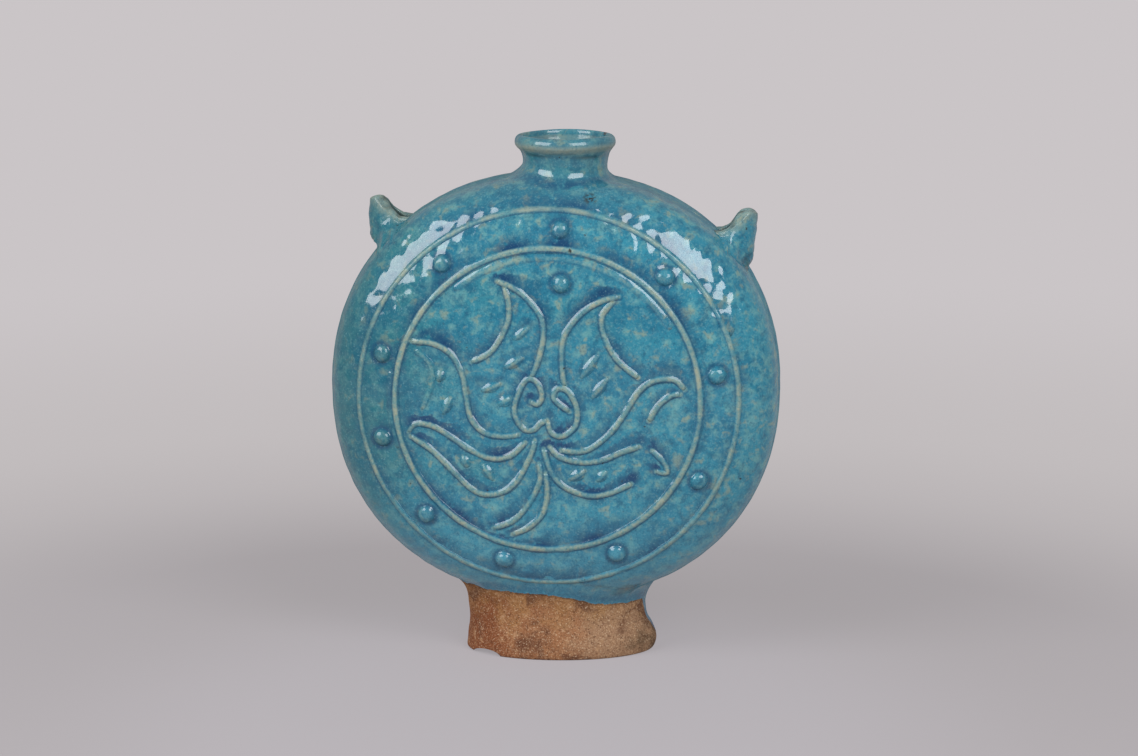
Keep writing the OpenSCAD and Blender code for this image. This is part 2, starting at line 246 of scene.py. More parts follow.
# The slip between the halves
# A thin layer of wet clay glued the rims together. It is as wide as the wall, lies flush under the glaze
# and hardly shows on the flank.
east, north = round_rim(360)
across = np.array([-1, -0.99, -0.5, 0, 0.5, 0.99, 1])[:, None] * half_seam
rim = np.stack([half_width * east + 0 * across, across + 0 * east, middle_z + half_height * north + 0 * across], -1)
rim_outside = np.stack([*np.broadcast_arrays(skin(half_width * east, half_height * north, 0 * east)[0])])[0]
rim_outside = rim_outside * [1, 0, 1] + across[..., None] * [0, 1, 0]
inside_rim = rim * [1 - wall / half_width, 1, 0]
inside_rim[..., 2] = middle_z + (rim[..., 2] - middle_z) * (1 - wall / half_height)
seam_rings = np.concatenate([rim_outside, inside_rim[::-1]])
luting_seam = fired_piece("luting_seam", [closed_skin(marked(seam_rings), joined=True)], "bare_clay", "seam_slip")
for part in (front_half, back_half, luting_seam):
    drilled(part, throat_from, throat_to, throat_radius)

# The neck
# A short collar thrown on the wheel, its lip rolled outwards. Its base was spread over the shoulder and
# smoothed into it, and the glaze gathered there in a deep blue ring.
body_top = middle_z + half_height
lip_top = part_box("neck")[1].z - 1.2 * mm
neck_turn = np.linspace(0, 2 * np.pi, 160, endpoint=False)
MOUTH = [(15.5, -33), (15.5, -15), (16.3, -12), (18, -8.6), (19.4, -6), (20, -3.4), (20.3, -0.8)]
LIP = [(20.3, -0.8), (20.7, -0.15), (21.4, 0), (22.4, -0.4), (23.3, -1.5), (23.7, -3.1), (23.5, -4.7),
       (22.5, -6.1), (21.2, -7.8), (20.4, -10.2), (20, -12.6), (20, -14.4)]


def through(points, count, loop=False):
    """A smooth line through given points (Catmull-Rom), at count even steps of its length.

    Between b and c, with neighbours a and d, the point at share s is half of
    2b + (c - a) s + (2a - 5b + 4c - d) s^2 + (3b - a - 3c + d) s^3.
    """
    p = np.array(points, float)
    ends = (p[-1:], p[:2]) if loop else (p[:1], p[-1:])
    p = np.concatenate([ends[0], p, ends[1]])
    a, b, c, d = (p[k:len(p) - 3 + k][:, None] for k in range(4))
    s = np.linspace(0, 1, 12, endpoint=False)[None, :, None]
    line = 0.5 * (2 * b + (c - a) * s + (2 * a - 5 * b + 4 * c - d) * s ** 2 + (3 * b - a - 3 * c + d) * s ** 3)
    line = np.concatenate([line.reshape(-1, p.shape[1]), p[-2:-1]])
    reached = np.concatenate([[0], np.cumsum(np.linalg.norm(np.diff(line, axis=0), axis=1))])
    return np.stack([np.interp(np.linspace(0, reached[-1], count), reached, column) for column in line.T], -1)


def body_edge(x, y, above):
    """Height of the body's skin over or under the point x, y, with its dents.

    The body's outline at y is the outline of the face shrunk by (1 - depth^p)^(1/p), where depth is y as
    a share of bulge. A dent goes in along the normal, so its height is divided by the normal's rise.
    """
    depth = np.clip((np.abs(y) - half_seam) / bulge, 0, 1)
    shrink = (1 - depth ** bluntness) ** (1 / bluntness)
    way = 1 if above else -1
    left_over = np.maximum(0, shrink ** squareness - np.abs(x / half_width) ** squareness)
    reach = half_height * left_over ** (1 / squareness)
    steep = np.maximum(shrink, 0.01) ** (bluntness - squareness)
    slopes = [steep * np.abs(x / half_width) ** (squareness - 1) / half_width, depth ** (bluntness - 1) / bulge,
              steep * (reach / half_height) ** (squareness - 1) / half_height]
    upright = slopes[2] / np.sqrt(sum(slope ** 2 for slope in slopes))
    return middle_z + way * (reach - dents(np.stack([x, y, middle_z + way * reach], -1)) / np.maximum(upright, 0.25))


def blended(upper, foot_x, foot_y, above, pull, skin_pull, rows):
    """Rings that carry an upright wall smoothly onto the body's skin, and then under it.

    upper is the ring where the wall ends. Each point follows a cubic curve to the place foot_x, foot_y on
    the skin and arrives along the skin. Its handles are pull long at the wall and skin_pull at the skin.
    """
    middle = upper.mean(0)
    out = np.stack([foot_x - middle[0], foot_y - middle[1]], -1)
    out /= np.linalg.norm(out, axis=-1, keepdims=True)
    nudge = 0.6 * mm
    landing = np.stack([foot_x, foot_y, body_edge(foot_x, foot_y, above)], -1)
    beyond_x, beyond_y = foot_x + out[:, 0] * nudge, foot_y + out[:, 1] * nudge
    beyond = np.stack([beyond_x, beyond_y, body_edge(beyond_x, beyond_y, above)], -1)
    along = beyond - landing
    along /= np.linalg.norm(along, axis=-1, keepdims=True)
    sink = np.array([0, 0, -1.0 if above else 1.0])
    landing = landing + sink * 0.08 * mm
    s = np.linspace(0, 1, rows)[:, None, None]
    curve = (upper * (1 - s) ** 3 + 3 * (upper + sink * pull) * s * (1 - s) ** 2
             + 3 * (landing - along * skin_pull) * s ** 2 * (1 - s) + landing * s ** 3)
    tucked = beyond + sink * 1.2 * mm
    return np.concatenate([curve[1:], tucked[None]])


inside = np.concatenate([through([(r * mm, lip_top + z * mm) for r, z in MOUTH], 34)[:-1],
                         through([(r * mm, lip_top + z * mm) for r, z in LIP], 46)])
radius, height = inside[:, :1], inside[:, 1:]
rolled = np.clip((radius - 19 * mm) / (3 * mm), 0, 1)
wobble = rolled * 0.22 * mm * np.sin(2 * neck_turn + 0.8) - 0.2 * mm
sag = rolled * 0.2 * mm * (1 + np.sin(3 * neck_turn))
lean = 1.3 * mm * np.cos(neck_turn) * np.clip((lip_top - 6 * mm - height) / (7 * mm), 0, 1) * (radius > 18 * mm)
neck_rings = np.stack([neck_x + (radius + wobble) * np.cos(neck_turn), (radius + wobble) * np.sin(neck_turn),
                       height - sag - lean], -1)
base_reach = (28 - 1 * np.cos(neck_turn)) * mm
base_x, base_y = neck_x + base_reach * np.cos(neck_turn), base_reach * np.sin(neck_turn)
front_share = np.sin(neck_turn)[:, None] ** 2
base_pull = (2.4 + 3 * front_share) * mm
base = blended(neck_rings[-1], base_x, base_y, True, base_pull, base_pull, 18)
tail = np.stack([neck_x + 17 * mm * np.cos(neck_turn), 17 * mm * np.sin(neck_turn),
                 lip_top - 34 * mm + 0 * neck_turn], -1)
outer_side = np.arange(len(inside))[:, None] > 32
on_lip = 0.2 + (0.12 * (height > lip_top - 8 * mm) + 0.5 * np.exp(-((height - lip_top + 5.2 * mm) / (1.9 * mm)) ** 2)) * outer_side
to_front = np.clip(0.3 - 0.7 * np.sin(neck_turn), 0, 1)
on_lip = on_lip + 0.9 * np.exp(-((radius - 20.6 * mm) / (0.5 * mm)) ** 2) * (height > lip_top - 1.5 * mm) * to_front
on_lip = on_lip + 0.3 * (1 - outer_side) * (radius < 20.2 * mm)
# Painted shade: a broken dark line in the crease under the rolled lip, laid on through the iron mark.
shade_under_lip = np.exp(-((height - lip_top + 8.6 * mm) / (0.9 * mm)) ** 2) * outer_side
base_pool = 0.75 * np.sin(np.pi * np.linspace(0, 1, len(base)) ** 0.9)[:, None] ** 3 * (0.4 + 0.6 * front_share[:, 0])
neck_skin = np.concatenate([
    marked(neck_rings, thin=on_lip + 0 * neck_turn, iron=0.4 * shade_under_lip * (1 + 0.6 * np.sin(5 * neck_turn))),
    marked(base, thin=0.12 * (1 - np.linspace(0, 1, len(base))[:, None] + 0 * neck_turn), pooled=base_pool),
    marked(tail[None], bare=1.0)])
neck_and_lip = fired_piece("neck_and_lip", [closed_skin(neck_skin, joined=True)], body_glaze, "neck")

# The foot
# A hollow oval ring, set on slightly crooked and left unglazed, so the gritty clay shows. The glaze ends
# in a wavy line just under the body, with one run down the right end; a chip is missing front left.
foot_low, foot_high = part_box("foot")
foot_x = 1.2 * mm
foot_twist = np.radians(4.5)
foot_flatness = 53 / 91
foot_wall = 7.5 * mm
foot_turn = np.linspace(0, 2 * np.pi, 288, endpoint=False)
LEFT_SIDE = [(42.6, 0), (43.9, 0.35), (44.6, 1.6), (44.4, 4.5), (43.9, 9), (43.4, 13.5), (43.4, 18), (44, 23)]
RIGHT_SIDE = [(44.2, 0), (45.5, 0.35), (46.6, 1.8), (47.4, 4.5), (46.9, 8), (45.2, 12), (42.8, 16.5), (41.9, 22.5)]
GLAZE_LINE = [(-50, 35.5), (-40, 35), (-28, 33.5), (-12, 33), (2, 32.4), (10, 30.5), (17, 28), (24, 26.6), (42, 26)]
chip_middle = -32 * mm
chip_reach = 6.8 * mm
chip_rise = 2.9 * mm


def oval(reach):
    """Points of the foot's oval of this half length, turned a little against the body."""
    along, over = reach * np.cos(foot_turn), reach * foot_flatness * np.sin(foot_turn)
    return (foot_x + along * np.cos(foot_twist) - over * np.sin(foot_twist),
            along * np.sin(foot_twist) + over * np.cos(foot_twist))


left_side, right_side = (through([(r * mm, z * mm) for r, z in side], 44) for side in (LEFT_SIDE, RIGHT_SIDE))
rightness = (1 + np.cos(foot_turn)) / 2
reach = left_side[:, :1] * (1 - rightness) + right_side[:, :1] * rightness
rise = left_side[:, 1:] * (1 - rightness) + right_side[:, 1:] * rightness
side = np.stack([*oval(reach), rise], -1)
rough = 0.16 * mm * (1 + unevenness(side, 13 * mm, 8)) + 0.07 * mm * (1 + unevenness(side, 4.2 * mm, 9))
side = np.stack([*oval(reach - rough * np.clip(rise / (3 * mm), 0, 1)), rise], -1)
flare_x, flare_y = oval(53.5 * mm + 0 * foot_turn)
flare = blended(side[-1], flare_x, flare_y, False, 5.4 * mm, 8 * mm, 22)
inner_reach = left_side[0, 0] - foot_wall + 2 * mm
ceiling = np.stack([*oval(inner_reach + 0 * foot_turn), 0 * foot_turn], -1)
ceiling[:, 2] = body_edge(ceiling[:, 0], ceiling[:, 1], False) + 1.5 * mm
sole = ceiling * [1, 1, 0]
share = np.linspace(0, 1, 16)[:, None, None]
bore_of_foot = ceiling * (1 - share) + (sole + [0, 0, 0.8 * mm]) * share
rounding = np.stack([*oval(inner_reach + 0.9 * mm + 0 * foot_turn), 0 * foot_turn], -1)
foot_rings = np.concatenate([side, flare, bore_of_foot, rounding[None]])
chip = chip_rise * np.sqrt(np.maximum(0, 1 - ((foot_rings[..., 0] - chip_middle) / chip_reach) ** 2))
chip *= foot_rings[..., 1] < 0
foot_rings[..., 2] = np.maximum(foot_rings[..., 2], chip)
line_x, line_z = np.array(GLAZE_LINE).T * mm
edge_z = np.interp(foot_rings[..., 0], line_x, line_z)
edge_z += 0.5 * mm * unevenness(foot_rings * [1, 1, 0], 9 * mm, 12)
run_angle = (foot_turn - np.radians(6) + np.pi) % (2 * np.pi) - np.pi
run = np.exp(-(run_angle / np.radians(17)) ** 4)
edge_z = edge_z - run * 19 * mm
bare = np.clip(0.5 + (edge_z - foot_rings[..., 2]) / (6 * mm), 0, 1)
bare[-18:] = 1
foot_pool = np.clip(1.2 - np.abs(edge_z + 2 * mm - foot_rings[..., 2]) / (4 * mm), 0, 1) * 0.5 + 0.5 * run
foot_ring = fired_piece("foot_ring", [closed_skin(marked(foot_rings, bare=bare, pooled=foot_pool), joined=True)],
                        "bare_clay", "foot")

# The two cord lugs
# Each is a strap of clay bent round into an upright loop on the shoulder, its top scooped down towards the
# body and its tail pinched in below, where a small hole lets the cord out. Inside, the clay is brown, and the
# bore is darkened with painted shade.
lug_radius = 13 * mm
lug_depth = 10 * mm
lug_turn = np.linspace(-np.pi, np.pi, 144, endpoint=False)
LEFT_TOP = [(0, -1.5), (1, -0.4), (2, 0), (3.2, -0.5), (4.8, -2), (8.2, -4.8), (12, -7), (15.5, -8.8), (20, -9.3),
            (27, -9.3)]
RIGHT_TOP = [(0, -1.3), (1.2, -0.4), (2.6, 0), (4.2, -0.4), (6.2, -1.9), (8.6, -4.5), (11, -6.8), (13.5, -8.3),
             (17, -9.4), (27, -9.3)]


def lug(name, node, side, axis_x, tip_z, top_edge, back_drop, lean_out, tail_height, tail_reach):
    """A strap loop: an upright oval tube round axis_x whose rim follows the scooped top edge.

    back_drop lowers the back of that edge, lean_out leans the loop away from the body, and the outer wall
    starts to draw in at tail_height above the skin, which it meets at tail_reach from the axis.

    For each direction a round the axis, 0 pointing away from the body, the section runs from under the
    body's skin up the outside, over the rounded rim and down the bore.
    """
    facing = np.cos(lug_turn)
    outward = np.clip((facing - 0.35) / 0.65, 0, 1) ** 1.5
    inset, fall = np.array(top_edge).T * mm
    from_tip = lug_radius * (1 - facing)
    lean_back = back_drop * np.clip(1 - from_tip / (17 * mm), 0, 1) * lug_depth * np.sin(lug_turn)
    rim_z = tip_z + np.interp(from_tip, inset, fall) - lean_back

    def ring(reach_x, reach_y, z, shift=0.0):
        reach_x, reach_y, z, _ = np.broadcast_arrays(reach_x, reach_y, z, lug_turn)
        return np.stack([side * (axis_x + shift + reach_x * facing), reach_y * np.sin(lug_turn), z], -1)

    inner_x = np.where(facing > 0, 10 * mm, lug_radius) * facing
    wall_z = body_edge(side * (axis_x + inner_x), lug_depth * np.sin(lug_turn), True)
    spread = np.clip((rim_z - 2 * mm - wall_z) / (8.5 * mm), 0.05, 1)
    landing_x = np.where(facing > 0, 13.5 * mm - (13.5 * mm - tail_reach) * facing, lug_radius + 5.5 * mm * spread)
    landing = ring(landing_x, lug_depth + 22.5 * mm * spread, 0)
    skin_z = body_edge(landing[:, 0], landing[:, 1], True)
    shoulder_z = (skin_z + tail_height) * outward + (wall_z + 8.5 * mm * spread) * (1 - outward)
    shoulder_z = np.minimum(shoulder_z, rim_z - 1.7 * mm)
    widening = 1 + 0.16 * np.clip((tip_z - 6 * mm - shoulder_z) / (16 * mm), 0, 1)
    tail_share, web_share = outward[:, None], ((1 - outward) * spread)[:, None]
    lower = blended(ring(lug_radius, lug_depth * widening, shoulder_z), landing[:, 0], landing[:, 1], True,
                    0.5 * tail_height * tail_share + 5 * mm * web_share,
                    0.5 * tail_height * tail_share + 17 * mm * web_share, 34)
    share = np.linspace(0, 1, 18)[:, None]
    climb = shoulder_z + share * (rim_z - 1.6 * mm - shoulder_z)
    outside = ring(lug_radius, lug_depth * (1 + (widening - 1) * (1 - share) ** 1.5), climb)
    bore_x, bore_y, bore_shift = 7.4 * mm, 5.8 * mm, -1.6 * mm
    bend = np.linspace(0, np.pi, 13)[1:-1, None]
    over = (1 - np.cos(bend)) / 2
    lip = ring(lug_radius + (bore_x - lug_radius) * over, lug_depth + (bore_y - lug_depth) * over,
               rim_z - 1.6 * mm + 1.6 * mm * np.sin(bend), bore_shift * over)
    floor_z = tip_z - 24 * mm * outward - 34 * mm * (1 - outward)
    wider = 1 + 0.28 * np.sin(np.minimum(share * 4, 1) * np.pi / 2)
    bore = ring(bore_x * wider, bore_y * wider, rim_z - 1.6 * mm + share * (floor_z - rim_z + 1.6 * mm), bore_shift / wider)
    end_x, end_y = 4.5 * mm, 5.5 * mm
    end_z = body_edge(side * (axis_x + end_x * facing), end_y * np.sin(lug_turn), True) - 3 * mm
    bottom = ring(end_x, end_y, np.minimum(floor_z - 3 * mm, end_z))
    rings = np.concatenate([lower[::-1], outside, lip, bore, bottom[None]])
    centre = np.array([side * axis_x, 0, 0])
    away = (rings - centre) * [1, 1, 0]
    turned_in = np.zeros(rings.shape[:2], bool)
    turned_in[-len(bore) - 1:] = True
    lumps = 0.38 * mm * (unevenness(rings, 9 * mm, 21) - 0.9) + 0.16 * mm * (unevenness(rings, 4.5 * mm, 22) - 1)
    fade = np.clip(np.arange(len(rings)) / 22, 0, 1)[:, None]
    torn = np.clip((tip_z - 17 * mm - rings[..., 2]) / (4 * mm), 0, 1) * np.clip(2 * outward, 0, 1) * ~turned_in
    lumps = lumps + 0.6 * mm * torn * unevenness(rings, 3.5 * mm, 24)
    rings = rings + away / lug_radius * (lumps * fade)[..., None]
    rings[..., 0] += side * lean_out * (rings[..., 2] - tip_z + 12 * mm) * fade
    below_rim = (rim_z - rings[..., 2]) / mm
    bare = np.clip((below_rim - 6) / 4, 0, 1) * turned_in
    thin = (0.12 + 0.6 * np.exp(-(below_rim / 6) ** 2)) * np.clip(np.arange(len(rings)) / 34, 0, 1)[:, None]
    crust = torn * np.clip(0.55 + 0.6 * unevenness(rings, 4.5 * mm, 25), 0, 1)
    edge = 0.7 * np.exp(-((below_rim - 0.3) / 0.7) ** 2) * np.clip(0.3 + unevenness(rings, 6 * mm, 26), 0, 1)
    # Inside the bore the iron mark is painted shade that deepens a little way down the hole; outside it is the dark
    # crust of the torn tail and a broken dark line along the rim.
    crust_and_bore_shade = np.where(turned_in, 0.3 + 0.3 * np.clip((below_rim - 1) / 3, 0, 1), np.maximum(0.7 * crust, edge))
    marks = marked(rings, thin=thin, bare=bare, iron=crust_and_bore_shade)
    piece = fired_piece(name, [closed_skin(marks, joined=True)], body_glaze, node)
    hole = np.array([side * (axis_x + lug_radius - 1 * mm), 0, tip_z - 28 * mm])
    slant = np.array([side * np.sin(np.radians(130)), 0, np.cos(np.radians(130))]) * 9 * mm
    drilled(piece, hole - slant, hole + slant, 2.3 * mm)
    return piece


left_lug = lug("left_cord_lug", "left_lug", -1, 76.2 * mm, 218.9 * mm, LEFT_TOP, 0.16, 0, 6.6 * mm, 8.5 * mm)
right_lug = lug("right_cord_lug", "right_lug", 1, 81.4 * mm, 214.3 * mm, RIGHT_TOP, 0, 0.12, 8 * mm, 11.5 * mm)

# The trailed ornament
# Slip was trailed on both faces like icing: two rings, the outlines of the leaves, the heart scroll with
# its vine, and short seeds. Beads of clay were pressed into the band. All of it is set out from one middle.
ring_middle = np.array([-1.1, -0.6]) * mm
outer_ring = 89 * mm
inner_ring = 71.3 * mm
faint_ring = 67 * mm
bead_circle = (outer_ring + inner_ring) / 2
bead_angles = np.radians([9.4, 47, 85.7, 127.6, 165, 194, 224.3, 255.1, 294, 332.3])
LEAVES = [
    [(-24, 55.5), (-15.5, 52), (-9, 46.5), (-3.5, 39), (-2.5, 30), (-4.5, 20), (-8, 11)],
    [(-20.5, 52.5), (-18.5, 44.5), (-19.5, 35), (-26.5, 23), (-36, 17.5)],
    [(32.5, 49), (24.5, 47), (15, 41), (7.5, 31), (6, 21.5), (6.5, 13), (7.5, 7)],
    [(29.5, 46.5), (24.5, 39.5), (26, 30), (32, 19.5), (41.5, 11.5)],
    [(-64.5, 26.5), (-55, 26), (-46, 21.5), (-40.5, 12), (-38.5, 1.5), (-36.5, -8.5), (-30.5, -15.5),
     (-21, -17.3), (-14, -16.5)],
    [(-66, -16.5), (-62.5, -12.5), (-55, -13), (-46, -18), (-37, -24), (-27, -28), (-18, -26.5), (-11, -20)],
    [(-65, -18.5), (-56, -24), (-48.5, -31), (-37, -42.5), (-29.5, -45.5), (-20.5, -43.5), (-14, -37),
     (-8, -25), (-6.5, -19)],
    [(0.5, -22), (5, -26.5), (15, -29), (24.5, -28), (34, -24), (42, -21)],
    [(-2.5, -23), (1.5, -34.5), (8, -41.5), (19, -45), (29, -43.5), (38.5, -39)],
    [(6, -23.5), (17, -23.5), (26.5, -17), (33.5, -8.5), (41.5, 4.5), (49, 10), (58, 10.5), (63, 6)],
    [(61, 3.8), (56.5, 3), (51, -1.5), (46.5, -9)]]
FAINT_LEAF_EDGE = [(-62.5, 22.5), (-55.5, 16), (-55, 6.5), (-59.5, -5.5)]
SCROLL = [
    [(-8.5, -0.5), (-5, -1.7), (-3, 3), (-6, 9), (-10.5, 9.5), (-14.5, 2), (-16, -6), (-12, -13.5), (-7, -14),
     (-4, -11), (-0.7, -9.4)],
    [(-0.5, -10), (1.5, -15.5), (7, -16.5), (12.5, -11.5), (13, -3), (9, 4.5), (4, 5.7), (2.5, 1), (9.5, -5)],
    [(-4.5, -30), (-4.2, -38), (-9.5, -49.5), (-17, -58), (-26.5, -62)],
    [(-1.5, -34.5), (-0.8, -44), (-3, -54), (-9.5, -61), (-17.5, -65)],
    [(48, -23), (53.5, -28.5), (55, -33.5), (50, -33)]]
SEEDS = [
    [(-16.5, 28.5), (-9.5, 34)], [(-20.5, 15), (-12, 20)], [(-31.5, 4), (-22.5, 7.5)], [(-23.5, -2.5), (-17.8, 1)],
    [(15, 11), (23, 22)], [(20, 1.5), (27.5, 11)], [(-50, 13.5), (-51.5, 8)], [(-46, 0.5), (-49.5, -7.5)],
    [(-31, -31), (-26, -38.5)], [(-40.5, -27), (-38, -32.5)], [(9.5, -37.5), (17, -33)], [(22.5, -38), (27, -33)]]


def trailed(points, step=0.8 * mm, loop=False):
    """The line that the slip was trailed along, in metres at even steps, from given points in mm."""
    rough = through(np.array(points) * mm, 200, loop)
    length = np.linalg.norm(np.diff(rough, axis=0), axis=1).sum()
    return through(np.array(points) * mm, max(8, int(length / step)), loop)


def circle(radius, start=0.0, end=360.0, step=1.0):
    """A ring, or an arc of one, round the middle of the ornament."""
    angle = np.radians(np.arange(start, end, step))
    return ring_middle + radius * np.stack([np.cos(angle), np.sin(angle)], -1)


def thread(line, width, height, back, seed, loop=False, spindle=False):
    """A trailed thread lying on the face, as a closed skin.

    Across the thread the slip stands height (1 - u^2)^1.3 high, with u from -1 to 1 over its width, so it
    is round on top and its feet run out into the glaze. Width and height waver along it, and open ends
    are rounded off; a spindle swells from both ends to its middle.
    """
    around = np.roll(line, -1, 0) - np.roll(line, 1, 0) if loop else np.gradient(line, axis=0)
    around /= np.linalg.norm(around, axis=1, keepdims=True)
    side = np.stack([-around[:, 1], around[:, 0]], -1)
    place = np.concatenate([line, np.full((len(line), 1), seed * 0.1)], 1)
    waver = unevenness(place, 14 * mm, seed)
    pulse = unevenness(place, 5 * mm, seed + 50)
    share = np.linspace(0, 1, len(line))
    length = np.linalg.norm(np.diff(line, axis=0), axis=1).sum()
    from_end = np.minimum(share, 1 - share) * length / (1.3 * width)
    end = np.ones(len(line)) if loop else np.sqrt(np.clip(1 - (1 - np.clip(from_end, 0.02, 1)) ** 2, 0, 1))
    if spindle:
        end = np.sin(np.pi * np.clip(share, 0.04, 0.96)) ** 0.8
    half = width / 2 * 1.5 * (1 + 0.15 * waver + 0.06 * pulse) * (0.3 + 0.7 * end)
    tall = height * (0.9 + 0.14 * waver + 0.12 * pulse) * end
    u = np.array([-1, -0.84, -0.68, -0.52, -0.37, -0.23, -0.1, 0, 0.1, 0.23, 0.37, 0.52, 0.68, 0.84, 1])
    under = np.array([0.7, 0, -0.7])
    offset = np.concatenate([u, under])[None, :] * half[:, None]
    lift = np.concatenate([tall[:, None] * (1 - u ** 2) ** 1.3 - 0.06 * mm,
                           np.full((len(line), 3), -0.5 * mm)], 1)
    x = line[:, :1] + side[:, :1] * offset
    z = line[:, 1:] + side[:, 1:] * offset
    return closed_skin(marked(on_face(x, z, back, lift)[0]), joined=loop)


def bead(middle, width, back, seed):
    """A bead pressed onto the face: height falls as 1 - r^2.6 and its foot runs out over the last part."""
    angle = np.linspace(0, 2 * np.pi, 36, endpoint=False)
    draw = np.random.default_rng(seed)
    r = np.array([0.12, 0.3, 0.48, 0.64, 0.78, 0.88, 0.95, 1.0, 1.06, 1.14, 1.1, 0.6])[:, None]
    tall = np.array([1, 0.97, 0.9, 0.79, 0.64, 0.48, 0.32, 0.19, 0.07, -0.02, -0.3, -0.3])[:, None]
    oval_share = 1 + draw.uniform(0.02, 0.07) * np.cos(2 * (angle - draw.uniform(0, np.pi)))
    reach = width / 2 * r * oval_share
    lift = (2.35 * mm * tall) * (1 + 0.06 * np.cos(angle + draw.uniform(0, 2 * np.pi)) * (tall > 0))
    x, z = middle[0] + reach * np.cos(angle), middle[1] + reach * np.sin(angle)
    return closed_skin(marked(on_face(x, z, back, lift)[0]))


def ornament(back):
    """All the slip and beads of one face, one piece for each group."""
    face = "back" if back else "front"
    slip = "glazed_slip_thread"
    groups = {
        "outer_ring": [thread(circle(outer_ring), 2.1 * mm, 0.75 * mm, back, 1, loop=True)],
        "inner_ring": [thread(circle(inner_ring), 2.9 * mm, 1.0 * mm, back, 2, loop=True),
                       thread(circle(faint_ring, 31, 131), 2.9 * mm, 0.45 * mm, back, 3),
                       thread(circle(74 * mm, 170, 200), 2.2 * mm, 0.5 * mm, back, 4)],
        "bosses": [bead(ring_middle + bead_circle * np.array([np.cos(a), np.sin(a)]), 7.9 * mm, back, k)
                   for k, a in enumerate(bead_angles)]
                  + [bead(np.array([5.6, 54.7]) * mm, 7.9 * mm, back, 30)],
        "leaves": [thread(trailed(p), 2.5 * mm, 0.92 * mm, back, 10 + k) for k, p in enumerate(LEAVES)]
                  + [thread(trailed(FAINT_LEAF_EDGE), 2.6 * mm, 0.55 * mm, back, 29)],
        "scroll": [thread(trailed(p), 2.45 * mm, 0.9 * mm, back, 30 + k) for k, p in enumerate(SCROLL)],
        "seeds": [thread(trailed(p, 0.5 * mm), 3.6 * mm, 1.45 * mm, back, 40 + k, spindle=True)
                  for k, p in enumerate(SEEDS)]}
    return [fired_piece(f"{face}_{name}_slip", skins, slip, f"{face}_{name}") for name, skins in groups.items()]


front_ornament = ornament(False)
back_ornament = ornament(True)

# The glaze on the faces
# One turquoise glaze was poured over everything but the foot. It ran down before it froze: thin and pale
# on the crests of the slip, and gathered deep blue against their upper sides and round the beads.
crest_lines = [(circle(outer_ring), 0.7), (circle(inner_ring), 1.0), (circle(faint_ring, 33, 129), 0.35)]
crest_lines += [(trailed(p, 1.2 * mm), 1.0) for p in LEAVES + SCROLL]
crest_lines += [(trailed(FAINT_LEAF_EDGE, 1.2 * mm), 0.4)]
crest_lines += [(trailed(p, 1 * mm), 0.45) for p in SEEDS]
crest = np.concatenate([line for line, _ in crest_lines])
crest_weight = np.concatenate([np.full(len(line), weight) for line, weight in crest_lines])
bead_middles = [ring_middle + bead_circle * np.array([np.cos(a), np.sin(a)]) for a in bead_angles]
bead_middles = np.array(bead_middles + [np.array([5.6, 54.7]) * mm])


def settled(points, back):
    """The marks of the glaze on a face, from the distance d to the nearest crest or bead.

    thin is exp(-(d / 1.4 mm)^2.4), with a faint echo 5.2 mm away. pooled rises past the foot of the slip and
    fades over 3 mm beside a thread that runs downhill, and over 6 mm above one that lies across and held
    the glaze back. Both are patchy. pooled also carries painted shade: a thin dark line along the downhill
    foot of each thread.
    """
    turned = points * [-1, -1, 1] if back else points
    place = np.stack([turned[:, 0], turned[:, 2] - middle_z], -1)
    nearest = np.empty(len(place), int)
    for start in range(0, len(place), 4000):
        part = place[start:start + 4000]
        gap = ((part[:, None] - crest[None]) ** 2).sum(-1)
        nearest[start:start + 4000] = gap.argmin(1)
    offset = place - crest[nearest]
    d = np.linalg.norm(offset, axis=1)
    weight = crest_weight[nearest]
    uphill = np.clip(0.5 + 0.5 * offset[:, 1] / np.maximum(d, 1e-6), 0, 1)
    shown = np.clip(0.85 + 0.35 * unevenness(points, 17 * mm, 63), 0.4, 1.1)
    thin = np.exp(-(d / (1.4 * mm)) ** 2.4) * (0.35 + 0.65 * weight) * shown
    reach = (2.4 + 3.4 * uphill ** 3) * mm
    held = np.clip((d - 0.8 * mm) / (0.9 * mm), 0, 1) * np.exp(-(np.maximum(0, d - 1.6 * mm) / reach) ** 2)
    gathered = np.clip(0.75 + 0.6 * unevenness(points, 24 * mm, 62), 0.2, 1.2)
    # The second term is painted shade: a thin dark line in the crease below each thread, given the deep blue of pooled
    # glaze.
    pooled = weight * (held * (0.2 + 0.9 * uphill ** 2) * gathered
                       + 0.8 * (1 - uphill) * np.exp(-((d - 1.35 * mm) / (0.45 * mm)) ** 2))
    echo = np.exp(-((d - 5.2 * mm) / (0.9 * mm)) ** 2) * np.clip(0.2 + 1.2 * unevenness(points, 11 * mm, 61), 0, 1)
    thin = thin + 0.34 * weight * echo
    off = place[:, None] - bead_middles[None]
    from_bead = np.linalg.norm(off, axis=-1)
    near = from_bead.argmin(1)
    r = from_bead[np.arange(len(place)), near]
    moat = np.exp(-((r - 4.9 * mm) / (1.3 * mm)) ** 2)
    top = np.clip(1 - r / (4 * mm), 0, 1)
    facing = np.clip((-turned[:, 1] - 4 * mm) / (10 * mm), 0, 1)
    pooled = np.maximum(pooled, 0.75 * moat) * facing
    thin = np.maximum(thin, 0.35 * np.clip(top * 3, 0, 1)) * facing
    return np.stack([thin, pooled, 0 * thin, 0 * thin], -1)


for pieces, back in (([front_half, *front_ornament], False), ([back_half, *back_ornament], True)):
    for piece in pieces:
        set_marks(piece, settled(places(piece), back))
set_marks(luting_seam, np.zeros((len(luting_seam.data.vertices), 4)))


